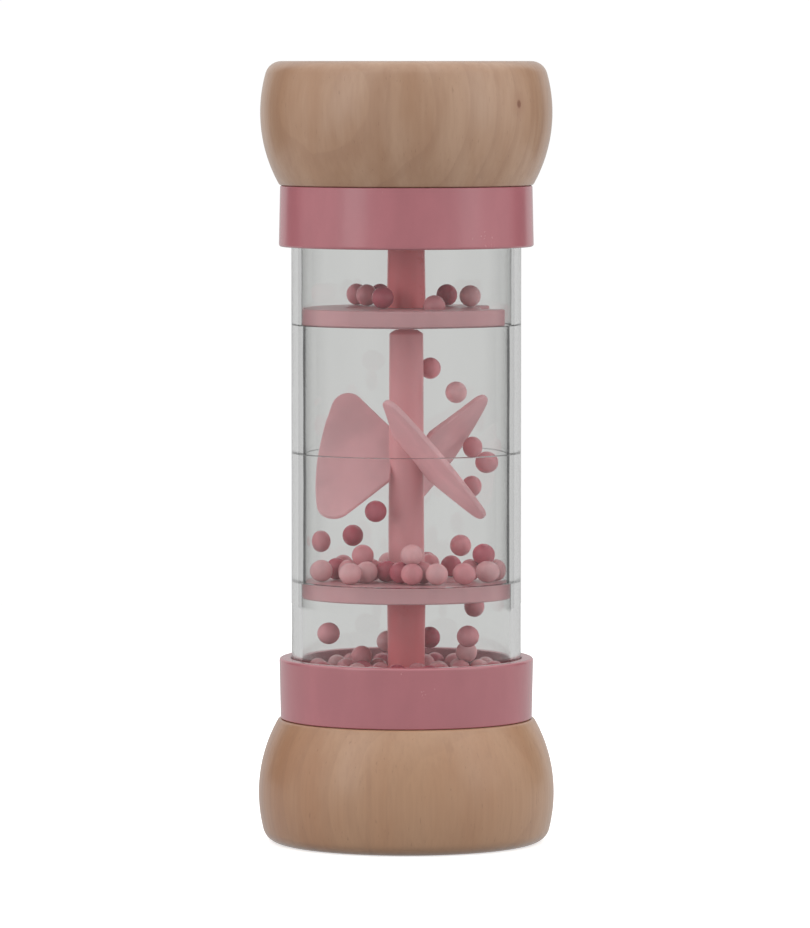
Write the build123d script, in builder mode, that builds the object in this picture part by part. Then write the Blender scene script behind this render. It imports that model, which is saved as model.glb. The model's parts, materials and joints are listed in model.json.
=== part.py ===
"""Rainmaker rattle: two turned beech caps, two moulded collars and a clear tube of
four bonded rings. Inside are two sieve discs on posts, a free-turning three-blade
spinner and loose round beads. Millimetres, +Z up, origin at the centre of the base."""

import math
import os

from build123d import *

os.makedirs("parts", exist_ok=True)

# ---------------------------------------------------------------- driving sizes
HEIGHT = 150.0  # overall, cap face to cap face
MID_Z = HEIGHT / 2

BASE_CAP_R = 28.45  # ball radius that the base cap is turned to
BASE_CAP_EQUATOR_Z = 9.46
TOP_CAP_R = 28.0
TOP_CAP_EQUATOR_Z = 140.16
CAP_H = 23.75  # end face to the collar joint
CAP_EDGE_R = 3.2  # rounding where the ball meets the flat end
CAP_LIP_R = 0.5
SPIGOT_R = 21.2  # turned step that enters the collar
SPIGOT_H = 3.65

COLLAR_H = 11.75
COLLAR_WOOD_R = 24.2  # outside radius at the wood
COLLAR_RIM_R = 24.45  # outside radius at the open rim
COLLAR_BORE_R = 22.15  # seat of the clear tube
COLLAR_RECESS_R = 21.3  # seat of the cap's spigot
COLLAR_RIM_FILLET = 0.45
COLLAR_LEAD_IN = 0.3
FLOOR_T = 3.4  # end plate between the tube and the spigot
SOCKET_R = 3.55  # where the post stands in the end plate
SOCKET_DEPTH = 1.2

TUBE_R = 22.05
END_RING_BORE_R = 20.1
MIDDLE_RING_BORE_R = 19.4  # 0.7 mm less than the end rings: the ledge carries a disc
RING_PITCH = 24.6  # from the mid plane to the next joint
RING_EDGE = 0.12  # broken edge that shows as a fine line at each joint

DISC_R = 20.0
DISC_T = 3.2
NOTCH_INNER_R = 14.4
NOTCH_HALF_ANGLE = 28.5
UPPER_NOTCH_AZ = 3.5
LOWER_NOTCH_AZ = 30.0
HOLE_R = 2.5
HOLE_RING_R = 9.254
HOLE_FROM_NOTCH = 58.7
PIVOT_BORE_R = 1.6
PIVOT_BORE_DEPTH = 2.4
DISC_SPIGOT_R = 1.95
DISC_SPIGOT_H = 2.5

POST_COLLAR_R = 3.5
POST_DISC_R = 3.7
POST_BORE_R = 2.0

SHAFT_TOP_R = 3.25
SHAFT_FOOT_R = 3.47
SHAFT_CHAMFER = 0.75
SHAFT_FOOT_GAP = 0.1  # thrust clearance over the lower disc
SHAFT_TOP_GAP = 1.05
PIVOT_R = 1.5  # runs in PIVOT_BORE_R with 0.1 mm radial clearance
PIVOT_TOP_Z = 101.6
PIVOT_FOOT_Z = 48.2

PADDLE_T = 1.0
PADDLE_Z = 74.3
PADDLE_TIP_R = 17.3
PADDLE_PITCH = -49.5  # degrees from the horizontal
PADDLE_ROOT_R = 2.75
PADDLE_ROOT_HALF = 5.9
PADDLE_SHOULDER_R = 14.0  # where the flanks would meet the bowed tip
PADDLE_SHOULDER_HALF = 17.9
PADDLE_CORNER_R = 3.2
PADDLE_AZIMUTHS = (174.0, 294.0, 54.0)

BEAD_R = 2.1

SCREW_R = 1.75
SCREW_LEN = 18.0
SCREW_HEAD_R = 3.2
SCREW_HEAD_H = 1.85

# ---------------------------------------------------------------- derived planes
RIM_BASE_Z = CAP_H + COLLAR_H  # 35.5
FLOOR_BASE_Z = CAP_H + SPIGOT_H + FLOOR_T  # 30.8, the tube's lower end
RIM_TOP_Z = HEIGHT - RIM_BASE_Z
FLOOR_TOP_Z = HEIGHT - FLOOR_BASE_Z
LOWER_JOINT_Z = MID_Z - RING_PITCH  # 50.4
UPPER_JOINT_Z = MID_Z + RING_PITCH  # 99.6


def ball_r(radius, equator_z, z):
    return math.sqrt(radius**2 - (z - equator_z) ** 2)


# ---------------------------------------------------------------- turned wooden caps
with BuildPart() as base_cap:
    with BuildSketch(Plane.XZ):
        with BuildLine():
            foot = (ball_r(BASE_CAP_R, BASE_CAP_EQUATOR_Z, 0), 0)
            waist = (BASE_CAP_R, BASE_CAP_EQUATOR_Z)
            lip = (ball_r(BASE_CAP_R, BASE_CAP_EQUATOR_Z, CAP_H), CAP_H)
            Line((0, 0), foot)
            ThreePointArc(foot, waist, lip)
            Polyline(lip, (SPIGOT_R, CAP_H), (SPIGOT_R, CAP_H + SPIGOT_H), (0, CAP_H + SPIGOT_H), (0, 0))
        make_face()
    revolve(axis=Axis.Z)
    fillet(base_cap.edges().filter_by(GeomType.CIRCLE).group_by(Axis.Z)[0], CAP_EDGE_R)
    fillet(
        base_cap.edges().filter_by(GeomType.CIRCLE).filter_by_position(Axis.Z, CAP_H - 0.01, CAP_H + 0.01).sort_by(SortBy.LENGTH)[-1],
        CAP_LIP_R,
    )
    # pilot hole for the screw, from the spigot's face
    with BuildSketch(Plane.XY.offset(CAP_H + SPIGOT_H)):
        Circle(SCREW_R)
    extrude(amount=-(SCREW_LEN - SCREW_HEAD_H), mode=Mode.SUBTRACT)
base_cap.part.label = "base_cap"
export_step(base_cap.part, "parts/base_cap.step")

with BuildPart() as top_cap:
    with BuildSketch(Plane.XZ):
        with BuildLine():
            crown = (ball_r(TOP_CAP_R, TOP_CAP_EQUATOR_Z, HEIGHT), HEIGHT)
            waist = (TOP_CAP_R, TOP_CAP_EQUATOR_Z)
            lip = (ball_r(TOP_CAP_R, TOP_CAP_EQUATOR_Z, HEIGHT - CAP_H), HEIGHT - CAP_H)
            Line((0, HEIGHT), crown)
            ThreePointArc(crown, waist, lip)
            Polyline(
                lip,
                (SPIGOT_R, HEIGHT - CAP_H),
                (SPIGOT_R, HEIGHT - CAP_H - SPIGOT_H),
                (0, HEIGHT - CAP_H - SPIGOT_H),
                (0, HEIGHT),
            )
        make_face()
    revolve(axis=Axis.Z)
    fillet(top_cap.edges().filter_by(GeomType.CIRCLE).group_by(Axis.Z)[-1], CAP_EDGE_R)
    fillet(
        top_cap.edges()
        .filter_by(GeomType.CIRCLE)
        .filter_by_position(Axis.Z, HEIGHT - CAP_H - 0.01, HEIGHT - CAP_H + 0.01)
        .sort_by(SortBy.LENGTH)[-1],
        CAP_LIP_R,
    )
    with BuildSketch(Plane.XY.offset(HEIGHT - CAP_H - SPIGOT_H)):
        Circle(SCREW_R)
    extrude(amount=SCREW_LEN - SCREW_HEAD_H, mode=Mode.SUBTRACT)
top_cap.part.label = "top_cap"
export_step(top_cap.part, "parts/top_cap.step")

# ---------------------------------------------------------------- moulded collars
with BuildPart() as base_collar:
    with BuildSketch(Plane.XZ):
        with BuildLine():
            Polyline(
                (COLLAR_RECESS_R, CAP_H),
                (COLLAR_WOOD_R, CAP_H),
                (COLLAR_RIM_R, RIM_BASE_Z),
                (COLLAR_BORE_R, RIM_BASE_Z),
                (COLLAR_BORE_R, FLOOR_BASE_Z - FLOOR_T),
                (COLLAR_RECESS_R, FLOOR_BASE_Z - FLOOR_T),
                (COLLAR_RECESS_R, CAP_H),
            )
        make_face()
    revolve(axis=Axis.Z)
    rim = base_collar.edges().filter_by(GeomType.CIRCLE).group_by(Axis.Z)[-1].sort_by(SortBy.LENGTH)
    fillet(rim[-1], COLLAR_RIM_FILLET)
    rim = base_collar.edges().filter_by(GeomType.CIRCLE).group_by(Axis.Z)[-1].sort_by(SortBy.LENGTH)
    chamfer(rim[0], COLLAR_LEAD_IN)
base_collar.part.label = "base_collar"
export_step(base_collar.part, "parts/base_collar.step")

with BuildPart() as top_collar:
    with BuildSketch(Plane.XZ):
        with BuildLine():
            Polyline(
                (COLLAR_RECESS_R, HEIGHT - CAP_H),
                (COLLAR_WOOD_R, HEIGHT - CAP_H),
                (COLLAR_RIM_R, RIM_TOP_Z),
                (COLLAR_BORE_R, RIM_TOP_Z),
                (COLLAR_BORE_R, FLOOR_TOP_Z + FLOOR_T),
                (COLLAR_RECESS_R, FLOOR_TOP_Z + FLOOR_T),
                (COLLAR_RECESS_R, HEIGHT - CAP_H),
            )
        make_face()
    revolve(axis=Axis.Z)
    rim = top_collar.edges().filter_by(GeomType.CIRCLE).group_by(Axis.Z)[0].sort_by(SortBy.LENGTH)
    fillet(rim[-1], COLLAR_RIM_FILLET)
    rim = top_collar.edges().filter_by(GeomType.CIRCLE).group_by(Axis.Z)[0].sort_by(SortBy.LENGTH)
    chamfer(rim[0], COLLAR_LEAD_IN)
top_collar.part.label = "top_collar"
export_step(top_collar.part, "parts/top_collar.step")

# ---------------------------------------------------------------- end plates
# Each closes one end of the tube. It lies on the collar's ledge, the tube's end presses
# on it, and it carries the socket of a post and the countersunk hole of a cap screw.
with BuildPart() as base_end_plate:
    with BuildSketch(Plane.XY.offset(FLOOR_BASE_Z - FLOOR_T)):
        Circle(COLLAR_BORE_R)
    extrude(amount=FLOOR_T)
    with BuildSketch(Plane.XY.offset(FLOOR_BASE_Z)):
        Circle(SOCKET_R)
    extrude(amount=-SOCKET_DEPTH, mode=Mode.SUBTRACT)
    with BuildSketch(Plane.XZ):
        with BuildLine():
            Polyline(
                (0, FLOOR_BASE_Z - SOCKET_DEPTH),
                (SCREW_HEAD_R, FLOOR_BASE_Z - SOCKET_DEPTH),
                (SCREW_R, FLOOR_BASE_Z - SOCKET_DEPTH - SCREW_HEAD_H),
                (SCREW_R, FLOOR_BASE_Z - FLOOR_T),
                (0, FLOOR_BASE_Z - FLOOR_T),
                (0, FLOOR_BASE_Z - SOCKET_DEPTH),
            )
        make_face()
    revolve(axis=Axis.Z, mode=Mode.SUBTRACT)
base_end_plate.part.label = "base_end_plate"
export_step(base_end_plate.part, "parts/base_end_plate.step")

with BuildPart() as top_end_plate:
    with BuildSketch(Plane.XY.offset(FLOOR_TOP_Z)):
        Circle(COLLAR_BORE_R)
    extrude(amount=FLOOR_T)
    with BuildSketch(Plane.XY.offset(FLOOR_TOP_Z)):
        Circle(SOCKET_R)
    extrude(amount=SOCKET_DEPTH, mode=Mode.SUBTRACT)
    with BuildSketch(Plane.XZ):
        with BuildLine():
            Polyline(
                (0, FLOOR_TOP_Z + SOCKET_DEPTH),
                (SCREW_HEAD_R, FLOOR_TOP_Z + SOCKET_DEPTH),
                (SCREW_R, FLOOR_TOP_Z + SOCKET_DEPTH + SCREW_HEAD_H),
                (SCREW_R, FLOOR_TOP_Z + FLOOR_T),
                (0, FLOOR_TOP_Z + FLOOR_T),
                (0, FLOOR_TOP_Z + SOCKET_DEPTH),
            )
        make_face()
    revolve(axis=Axis.Z, mode=Mode.SUBTRACT)
top_end_plate.part.label = "top_end_plate"
export_step(top_end_plate.part, "parts/top_end_plate.step")

# ---------------------------------------------------------------- clear tube, four rings
with BuildPart() as tube_ring_top:
    with BuildSketch(Plane.XY.offset(UPPER_JOINT_Z)):
        Circle(TUBE_R)
        Circle(END_RING_BORE_R, mode=Mode.SUBTRACT)
    extrude(amount=FLOOR_TOP_Z - UPPER_JOINT_Z)
    outer = tube_ring_top.edges().filter_by(GeomType.CIRCLE).group_by(Axis.Z)[0].sort_by(SortBy.LENGTH)[-1]
    chamfer(outer, RING_EDGE)
tube_ring_top.part.label = "tube_ring_top"
export_step(tube_ring_top.part, "parts/tube_ring_top.step")

with BuildPart() as tube_ring_upper:
    with BuildSketch(Plane.XY.offset(MID_Z)):
        Circle(TUBE_R)
        Circle(MIDDLE_RING_BORE_R, mode=Mode.SUBTRACT)
    extrude(amount=RING_PITCH)
    outer = tube_ring_upper.edges().filter_by(GeomType.CIRCLE).sort_by(SortBy.LENGTH)[-2:]
    chamfer(outer, RING_EDGE)
tube_ring_upper.part.label = "tube_ring_upper"
export_step(tube_ring_upper.part, "parts/tube_ring_upper.step")

with BuildPart() as tube_ring_lower:
    with BuildSketch(Plane.XY.offset(LOWER_JOINT_Z)):
        Circle(TUBE_R)
        Circle(MIDDLE_RING_BORE_R, mode=Mode.SUBTRACT)
    extrude(amount=RING_PITCH)
    outer = tube_ring_lower.edges().filter_by(GeomType.CIRCLE).sort_by(SortBy.LENGTH)[-2:]
    chamfer(outer, RING_EDGE)
tube_ring_lower.part.label = "tube_ring_lower"
export_step(tube_ring_lower.part, "parts/tube_ring_lower.step")

with BuildPart() as tube_ring_base:
    with BuildSketch(Plane.XY.offset(FLOOR_BASE_Z)):
        Circle(TUBE_R)
        Circle(END_RING_BORE_R, mode=Mode.SUBTRACT)
    extrude(amount=LOWER_JOINT_Z - FLOOR_BASE_Z)
    outer = tube_ring_base.edges().filter_by(GeomType.CIRCLE).group_by(Axis.Z)[-1].sort_by(SortBy.LENGTH)[-1]
    chamfer(outer, RING_EDGE)
tube_ring_base.part.label = "tube_ring_base"
export_step(tube_ring_base.part, "parts/tube_ring_base.step")

# ---------------------------------------------------------------- sieve discs
# Both are the same moulding: the lower one is turned over. Each has one notch in its
# rim, three round drop holes, a blind bore for the spinner's pivot on one side and a
# short spigot for the post on the other.
with BuildPart() as upper_sieve_disc:
    with BuildSketch(Plane.XY.offset(UPPER_JOINT_Z)):
        Circle(DISC_R)
        with BuildLine(mode=Mode.PRIVATE) as notch_line:
            a, b = (math.radians(UPPER_NOTCH_AZ + k * NOTCH_HALF_ANGLE) for k in (-1, 1))
            m = math.radians(UPPER_NOTCH_AZ)
            far = DISC_R + 4
            ThreePointArc(
                (NOTCH_INNER_R * math.cos(a), NOTCH_INNER_R * math.sin(a)),
                (NOTCH_INNER_R * math.cos(m), NOTCH_INNER_R * math.sin(m)),
                (NOTCH_INNER_R * math.cos(b), NOTCH_INNER_R * math.sin(b)),
            )
            Polyline(
                (NOTCH_INNER_R * math.cos(b), NOTCH_INNER_R * math.sin(b)),
                (far * math.cos(b), far * math.sin(b)),
                (far * 1.4 * math.cos(m), far * 1.4 * math.sin(m)),
                (far * math.cos(a), far * math.sin(a)),
                (NOTCH_INNER_R * math.cos(a), NOTCH_INNER_R * math.sin(a)),
            )
        make_face(notch_line.edges(), mode=Mode.SUBTRACT)
        with PolarLocations(HOLE_RING_R, 3, start_angle=UPPER_NOTCH_AZ - HOLE_FROM_NOTCH):
            Circle(HOLE_R, mode=Mode.SUBTRACT)
    extrude(amount=DISC_T)
    with BuildSketch(Plane.XY.offset(UPPER_JOINT_Z + DISC_T)):
        Circle(DISC_SPIGOT_R)
    extrude(amount=DISC_SPIGOT_H)
    with BuildSketch(Plane.XY.offset(UPPER_JOINT_Z)):
        Circle(PIVOT_BORE_R)
    extrude(amount=PIVOT_BORE_DEPTH, mode=Mode.SUBTRACT)
upper_sieve_disc.part.label = "upper_sieve_disc"
export_step(upper_sieve_disc.part, "parts/upper_sieve_disc.step")

with BuildPart() as lower_sieve_disc:
    with BuildSketch(Plane.XY.offset(LOWER_JOINT_Z - DISC_T)):
        Circle(DISC_R)
        with BuildLine(mode=Mode.PRIVATE) as notch_line:
            a, b = (math.radians(LOWER_NOTCH_AZ + k * NOTCH_HALF_ANGLE) for k in (-1, 1))
            m = math.radians(LOWER_NOTCH_AZ)
            far = DISC_R + 4
            ThreePointArc(
                (NOTCH_INNER_R * math.cos(a), NOTCH_INNER_R * math.sin(a)),
                (NOTCH_INNER_R * math.cos(m), NOTCH_INNER_R * math.sin(m)),
                (NOTCH_INNER_R * math.cos(b), NOTCH_INNER_R * math.sin(b)),
            )
            Polyline(
                (NOTCH_INNER_R * math.cos(b), NOTCH_INNER_R * math.sin(b)),
                (far * math.cos(b), far * math.sin(b)),
                (far * 1.4 * math.cos(m), far * 1.4 * math.sin(m)),
                (far * math.cos(a), far * math.sin(a)),
                (NOTCH_INNER_R * math.cos(a), NOTCH_INNER_R * math.sin(a)),
            )
        make_face(notch_line.edges(), mode=Mode.SUBTRACT)
        with PolarLocations(HOLE_RING_R, 3, start_angle=LOWER_NOTCH_AZ + HOLE_FROM_NOTCH):
            Circle(HOLE_R, mode=Mode.SUBTRACT)
    extrude(amount=DISC_T)
    with BuildSketch(Plane.XY.offset(LOWER_JOINT_Z - DISC_T)):
        Circle(DISC_SPIGOT_R)
    extrude(amount=-DISC_SPIGOT_H)
    with BuildSketch(Plane.XY.offset(LOWER_JOINT_Z)):
        Circle(PIVOT_BORE_R)
    extrude(amount=-PIVOT_BORE_DEPTH, mode=Mode.SUBTRACT)
lower_sieve_disc.part.label = "lower_sieve_disc"
export_step(lower_sieve_disc.part, "parts/lower_sieve_disc.step")

# ---------------------------------------------------------------- posts
POST_FOOT_Z = FLOOR_BASE_Z - SOCKET_DEPTH
POST_HEAD_Z = LOWER_JOINT_Z - DISC_T
with BuildPart() as lower_post:
    with BuildSketch(Plane.XZ):
        with BuildLine():
            Polyline(
                (POST_BORE_R, POST_FOOT_Z),
                (POST_COLLAR_R, POST_FOOT_Z),
                (POST_DISC_R, POST_HEAD_Z),
                (POST_BORE_R, POST_HEAD_Z),
                (POST_BORE_R, POST_FOOT_Z),
            )
        make_face()
    revolve(axis=Axis.Z)
lower_post.part.label = "lower_post"
export_step(lower_post.part, "parts/lower_post.step")

with BuildPart() as upper_post:
    with BuildSketch(Plane.XZ):
        with BuildLine():
            Polyline(
                (POST_BORE_R, HEIGHT - POST_FOOT_Z),
                (POST_COLLAR_R, HEIGHT - POST_FOOT_Z),
                (POST_DISC_R, HEIGHT - POST_HEAD_Z),
                (POST_BORE_R, HEIGHT - POST_HEAD_Z),
                (POST_BORE_R, HEIGHT - POST_FOOT_Z),
            )
        make_face()
    revolve(axis=Axis.Z)
upper_post.part.label = "upper_post"
export_step(upper_post.part, "parts/upper_post.step")

# ---------------------------------------------------------------- cap screws
with BuildPart() as base_cap_screw:
    with BuildSketch(Plane.XZ):
        with BuildLine():
            top_z = FLOOR_BASE_Z - SOCKET_DEPTH
            tip_z = CAP_H + SPIGOT_H - (SCREW_LEN - SCREW_HEAD_H)
            Polyline(
                (0, top_z),
                (SCREW_HEAD_R, top_z),
                (SCREW_R, top_z - SCREW_HEAD_H),
                (SCREW_R, tip_z + 2.5),
                (0.3, tip_z),
                (0, tip_z),
                (0, top_z),
            )
        make_face()
    revolve(axis=Axis.Z)
    # cross recess for the driver
    with BuildSketch(Plane.XY.offset(FLOOR_BASE_Z - SOCKET_DEPTH)):
        Rectangle(3.2, 0.8)
        Rectangle(0.8, 3.2)
    extrude(amount=-1.1, mode=Mode.SUBTRACT)
base_cap_screw.part.label = "base_cap_screw"
export_step(base_cap_screw.part, "parts/base_cap_screw.step")

with BuildPart() as top_cap_screw:
    with BuildSketch(Plane.XZ):
        with BuildLine():
            head_z = FLOOR_TOP_Z + SOCKET_DEPTH
            tip_z = HEIGHT - CAP_H - SPIGOT_H + (SCREW_LEN - SCREW_HEAD_H)
            Polyline(
                (0, head_z),
                (SCREW_HEAD_R, head_z),
                (SCREW_R, head_z + SCREW_HEAD_H),
                (SCREW_R, tip_z - 2.5),
                (0.3, tip_z),
                (0, tip_z),
                (0, head_z),
            )
        make_face()
    revolve(axis=Axis.Z)
    with BuildSketch(Plane.XY.offset(FLOOR_TOP_Z + SOCKET_DEPTH)):
        Rectangle(3.2, 0.8)
        Rectangle(0.8, 3.2)
    extrude(amount=1.1, mode=Mode.SUBTRACT)
top_cap_screw.part.label = "top_cap_screw"
export_step(top_cap_screw.part, "parts/top_cap_screw.step")

# ---------------------------------------------------------------- spinner
SHAFT_FOOT_Z = LOWER_JOINT_Z + SHAFT_FOOT_GAP
SHAFT_TOP_Z = UPPER_JOINT_Z - SHAFT_TOP_GAP


def paddle_plane(azimuth):
    """X points outward along the paddle, Y up its slope, Z is its normal."""
    a, p = math.radians(azimuth), math.radians(PADDLE_PITCH)
    out = Vector(math.cos(a), math.sin(a), 0)
    slope = Vector(-math.sin(a) * math.cos(p), math.cos(a) * math.cos(p), math.sin(p))
    return Plane(origin=(0, 0, PADDLE_Z), x_dir=out, z_dir=out.cross(slope))


with BuildPart() as spinner_paddles:
    for azimuth in PADDLE_AZIMUTHS:
        with BuildSketch(paddle_plane(azimuth)) as blade:
            with BuildLine():
                Polyline(
                    (PADDLE_SHOULDER_R, -PADDLE_SHOULDER_HALF),
                    (PADDLE_ROOT_R, -PADDLE_ROOT_HALF),
                    (PADDLE_ROOT_R, PADDLE_ROOT_HALF),
                    (PADDLE_SHOULDER_R, PADDLE_SHOULDER_HALF),
                )
                ThreePointArc((PADDLE_SHOULDER_R, PADDLE_SHOULDER_HALF), (PADDLE_TIP_R, 0), (PADDLE_SHOULDER_R, -PADDLE_SHOULDER_HALF))
            make_face()
            fillet(blade.vertices().sort_by_distance((0, 0))[2:], PADDLE_CORNER_R)
        extrude(amount=PADDLE_T / 2, both=True)
spinner_paddles.part.label = "spinner_paddles"
export_step(spinner_paddles.part, "parts/spinner_paddles.step")

with BuildPart() as spinner_shaft:
    with BuildSketch(Plane.XZ):
        with BuildLine():
            Polyline(
                (0, PIVOT_FOOT_Z),
                (PIVOT_R - 0.3, PIVOT_FOOT_Z),
                (PIVOT_R, PIVOT_FOOT_Z + 0.3),
                (PIVOT_R, SHAFT_FOOT_Z),
                (SHAFT_FOOT_R, SHAFT_FOOT_Z),
                (SHAFT_TOP_R, SHAFT_TOP_Z - SHAFT_CHAMFER),
                (SHAFT_TOP_R - 1.1, SHAFT_TOP_Z),
                (PIVOT_R, SHAFT_TOP_Z),
                (PIVOT_R, PIVOT_TOP_Z - 0.3),
                (PIVOT_R - 0.3, PIVOT_TOP_Z),
                (0, PIVOT_TOP_Z),
                (0, PIVOT_FOOT_Z),
            )
        make_face()
    revolve(axis=Axis.Z)
    # three shallow slots that the paddle roots are bonded into
    for azimuth in PADDLE_AZIMUTHS:
        with BuildSketch(paddle_plane(azimuth)):
            with Locations(((PADDLE_ROOT_R + 5) , 0)):
                Rectangle(10, 2 * PADDLE_ROOT_HALF + 2 * 1.0)
        extrude(amount=PADDLE_T / 2, both=True, mode=Mode.SUBTRACT)
spinner_shaft.part.label = "spinner_shaft"
export_step(spinner_shaft.part, "parts/spinner_shaft.step")

# ---------------------------------------------------------------- loose beads
# Centres of the beads that lie in each chamber, by shade.
RESTING = {
    "top_beads_dark": [(-5.19, 11.22, 104.92), (-4.45, -6.5, 104.92), (7.96, 9.0, 104.92)],
    "top_beads_rose": [(-9.85, 13.0, 104.92), (-7.73, 7.8, 104.92)],
    "top_beads_light": [(12.39, 3.0, 104.92)],
    "middle_beads_dark": [
        (-1.1, -9.2, 52.52), (-13.54, 1.0, 52.52), (-3.76, -5.37, 52.52), (8.85, 7.6, 52.52),
        (4.2, 16.6, 52.52), (14.63, -3.64, 55.61),
    ],
    "middle_beads_rose": [
        (-10.88, -3.2, 52.52), (-6.57, -2.16, 52.52), (3.2, -9.2, 52.52), (1.05, -12.95, 52.52),
        (12.24, -2.0, 52.52), (4.61, 12.2, 52.52), (10.62, -12.0, 52.52), (-12.6, 9.0, 52.52),
        (-8.25, -4.65, 55.5),
    ],
    "middle_beads_light": [
        (-7.43, -7.54, 52.52), (15.06, -6.5, 52.52), (17.13, -2.18, 52.52), (-15.97, -4.2, 52.52),
        (5.6, -13.0, 52.52), (-7.8, 7.0, 52.52), (-10.36, -11.01, 52.52), (-3.6, 15.0, 52.52),
        (1.05, -10.46, 55.95),
    ],
    "base_beads_dark": [
        (-8.4, -1.3, 32.92), (-4.79, 14.47, 32.92), (5.7, 16.04, 32.92), (4.41, -10.94, 32.92),
        (5.13, -16.07, 32.92), (-1.78, -9.67, 32.92),
    ],
    "base_beads_rose": [
        (-11.6, 3.7, 32.92), (-5.6, 3.6, 32.92), (10.4, 3.73, 32.92), (10.4, -0.53, 32.92),
        (-17.44, 4.0, 32.92), (-11.0, 14.02, 32.92), (-0.64, 11.5, 32.92), (3.64, 12.0, 32.92),
        (9.57, 14.27, 32.92), (2.11, -6.38, 32.92), (0.53, -14.83, 32.92), (-6.3, -12.69, 32.92),
        (-11.89, -10.84, 32.92), (-5.0, -5.93, 32.92), (-16.35, -1.27, 32.92), (6.52, -6.98, 32.92),
        (16.85, -1.95, 32.92), (-4.18, -16.94, 32.92), (-8.63, 2.08, 35.46),
    ],
    "base_beads_light": [
        (14.09, 1.6, 32.92), (-13.84, 10.84, 32.92), (-8.4, 9.0, 32.92), (-1.33, 16.97, 32.92),
        (15.63, 6.6, 32.92), (-9.31, -6.8, 32.92), (9.04, -13.09, 32.92), (6.13, -2.01, 32.92),
        (11.63, 1.6, 36.37),
    ],
}
for node, centres in RESTING.items():
    with BuildPart() as resting_beads:
        with Locations(*centres):
            Sphere(BEAD_R)
    resting_beads.part.label = node
    export_step(resting_beads.part, f"parts/{node}.step")

# Beads on their way down, each a body of its own. The first is in a drop hole of the
# upper disc.
FALLING = [
    (5.28, -7.6, 103.36),
    (4.66, 4.6, 90.95),
    (9.54, -1.0, 86.6),
    (-7.05, 15.0, 78.98),
    (13.3, 9.5, 75.41),
    (15.06, -5.0, 73.39),
    (13.01, 7.75, 67.96),
    (-5.8, -5.0, 63.99),
    (-10.48, 5.2, 58.64),
    (-16.83, 3.0, 57.64),
    (10.54, 2.5, 56.91),
    (13.52, 9.8, 44.5),
    (-14.62, -6.0, 40.64),
    (-3.73, 6.8, 37.96),
    (4.59, 6.4, 38.77),
    (11.61, -7.5, 40.19),
]
for number, centre in enumerate(FALLING, 1):
    with BuildPart() as falling_bead:
        with Locations(centre):
            Sphere(BEAD_R)
    falling_bead.part.label = f"falling_bead_{number:02d}"
    export_step(falling_bead.part, f"parts/falling_bead_{number:02d}.step")
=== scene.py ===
"""Looks of the rainmaker rattle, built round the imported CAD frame."""

import json
import math
import random

import bmesh
import bpy
from mathutils import Matrix, Vector


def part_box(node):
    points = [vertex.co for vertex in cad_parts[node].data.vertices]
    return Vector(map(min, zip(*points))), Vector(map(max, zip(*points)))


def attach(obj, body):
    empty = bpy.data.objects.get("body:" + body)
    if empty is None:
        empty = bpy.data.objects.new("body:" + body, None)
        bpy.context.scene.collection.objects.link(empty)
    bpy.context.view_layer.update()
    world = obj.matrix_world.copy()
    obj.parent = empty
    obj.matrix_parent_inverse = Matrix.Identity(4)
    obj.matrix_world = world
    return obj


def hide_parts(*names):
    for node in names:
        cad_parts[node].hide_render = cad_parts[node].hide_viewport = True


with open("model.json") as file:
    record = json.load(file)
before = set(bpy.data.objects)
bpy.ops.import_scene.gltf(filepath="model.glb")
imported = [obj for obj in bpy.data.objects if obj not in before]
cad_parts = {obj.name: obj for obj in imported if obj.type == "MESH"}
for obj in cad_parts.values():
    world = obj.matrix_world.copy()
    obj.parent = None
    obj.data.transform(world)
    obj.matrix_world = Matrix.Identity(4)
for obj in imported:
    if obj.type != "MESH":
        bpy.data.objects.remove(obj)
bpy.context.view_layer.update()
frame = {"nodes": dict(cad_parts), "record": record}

scene = bpy.context.scene
NODES = frame["nodes"]
MM = 0.001


# ------------------------------------------------------------------ sizes read from the frame
def zspan(node):
    lo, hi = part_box(node)
    return lo.z / MM, hi.z / MM


def radius(node):
    lo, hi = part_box(node)
    return max(hi.x, hi.y, -lo.x, -lo.y) / MM


BASE_Z0, BASE_Z1 = zspan("base_cap")
TOP_Z0, TOP_Z1 = zspan("top_cap")
COL_B0, COL_B1 = zspan("base_collar")
COL_T0, COL_T1 = zspan("top_collar")
RB0, RB1 = zspan("tube_ring_base")
RL0, RL1 = zspan("tube_ring_lower")
RU0, RU1 = zspan("tube_ring_upper")
RT0, RT1 = zspan("tube_ring_top")
TUBE_R = radius("tube_ring_upper")
BASE_R, TOP_R = radius("base_cap"), radius("top_cap")


# ------------------------------------------------------------------ camera
cam_data = bpy.data.cameras.new("photo_camera")
cam_data.sensor_width = 36.0
cam_data.sensor_fit = "AUTO"
cam_data.lens = 252.02
cam_data.clip_start = 0.05
cam_data.clip_end = 50.0
cam = bpy.data.objects.new("photo_camera", cam_data)
scene.collection.objects.link(cam)
cam.location = (-0.00025, -1.246, 0.150)
cam.rotation_euler = (math.radians(86.45), 0.0, 0.0)
scene.camera = cam


# ------------------------------------------------------------------ mesh helpers
def arc(cx, cz, r, a0, a1, n):
    """Points of an arc in the (r, z) plane, angles in degrees from +r towards +z."""
    return [
        (cx + r * math.cos(math.radians(a0 + (a1 - a0) * i / n)), cz + r * math.sin(math.radians(a0 + (a1 - a0) * i / n)))
        for i in range(n + 1)
    ]


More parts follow.
